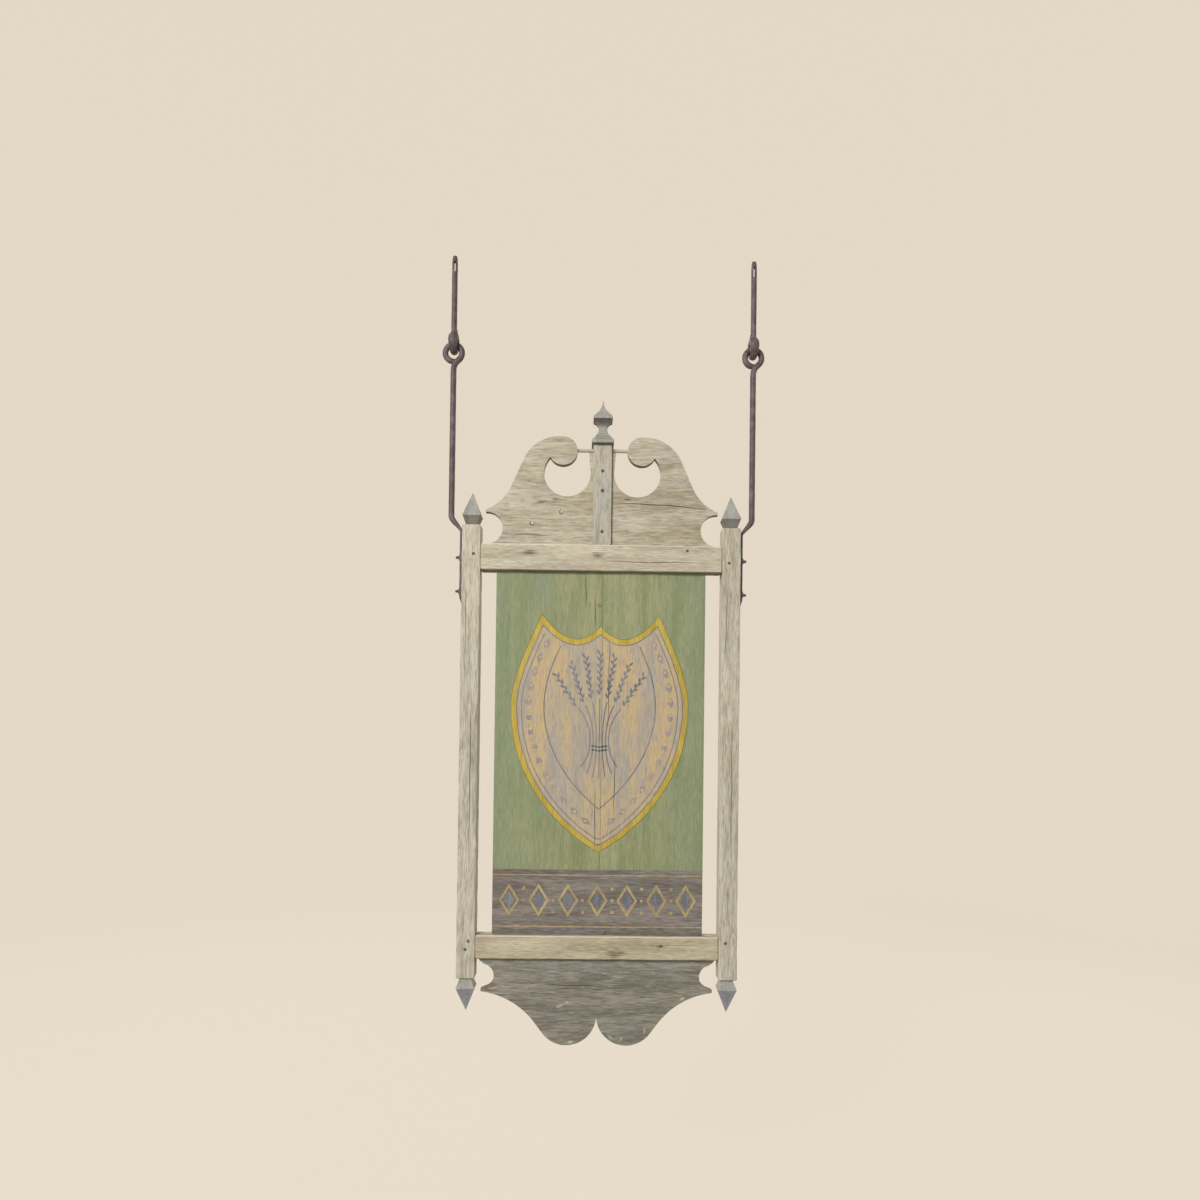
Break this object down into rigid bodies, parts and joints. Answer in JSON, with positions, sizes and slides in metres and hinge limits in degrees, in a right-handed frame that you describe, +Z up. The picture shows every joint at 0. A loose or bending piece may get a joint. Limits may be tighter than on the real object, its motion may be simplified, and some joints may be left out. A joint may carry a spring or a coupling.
{
  "type": "hanging tavern sign",
  "caption": "Double-faced tavern sign: painted panel in a post-and-rail frame with scrolled pediment, shaped skirt and pointed finials, hung on wrought irons that swing from eyebolts.",
  "frame": {"origin": "midway between the two eyebolt shanks, on the underside of the beam they pass through", "axes": "+Z up along the shanks, +X to the right seen from the front, the front faces -Y"},
  "size_m": [0.7814, 0.053, 1.886],
  "materials": {
    "weathered_wood": "bare, sun-bleached and rain-worn",
    "grey_wood": "dark grey weathered paint",
    "lead_painted_wood": "lead-grey paint",
    "green_painted_wood": "worn green oil paint",
    "wrought_iron": "hammered and oxidised"
  },
  "bodies": {
    "hanging_irons": {"left_eyebolt": "wrought_iron", "right_eyebolt": "wrought_iron"},
    "sign": {"left_hanger": "wrought_iron", "right_hanger": "wrought_iron", "strap_bolts": "wrought_iron", "strap_roves": "wrought_iron", "left_post": "weathered_wood", "right_post": "weathered_wood", "top_left_finial": "lead_painted_wood", "top_right_finial": "lead_painted_wood", "bottom_left_finial": "lead_painted_wood", "bottom_right_finial": "lead_painted_wood", "top_rail": "weathered_wood", "bottom_rail": "weathered_wood", "rail_pegs": "weathered_wood", "left_panel_board": "green_painted_wood", "right_panel_board": "green_painted_wood", "panel_dowels": "weathered_wood", "pediment_board": "weathered_wood", "pediment_dowels": "weathered_wood", "pediment_nails": "wrought_iron", "centre_post": "weathered_wood", "centre_post_nails": "wrought_iron", "centre_finial": "lead_painted_wood", "left_tie_rod": "weathered_wood", "right_tie_rod": "weathered_wood", "skirt_board": "grey_wood", "skirt_dowels": "weathered_wood"}
  },
  "joints": [
    {"name": "sign_swing", "type": "hinge", "parent": "hanging_irons", "child": "sign", "pos_m": [0, 0, -0.034], "axis": [1, 0, 0], "range_deg": [-90, 90]}
  ]
}
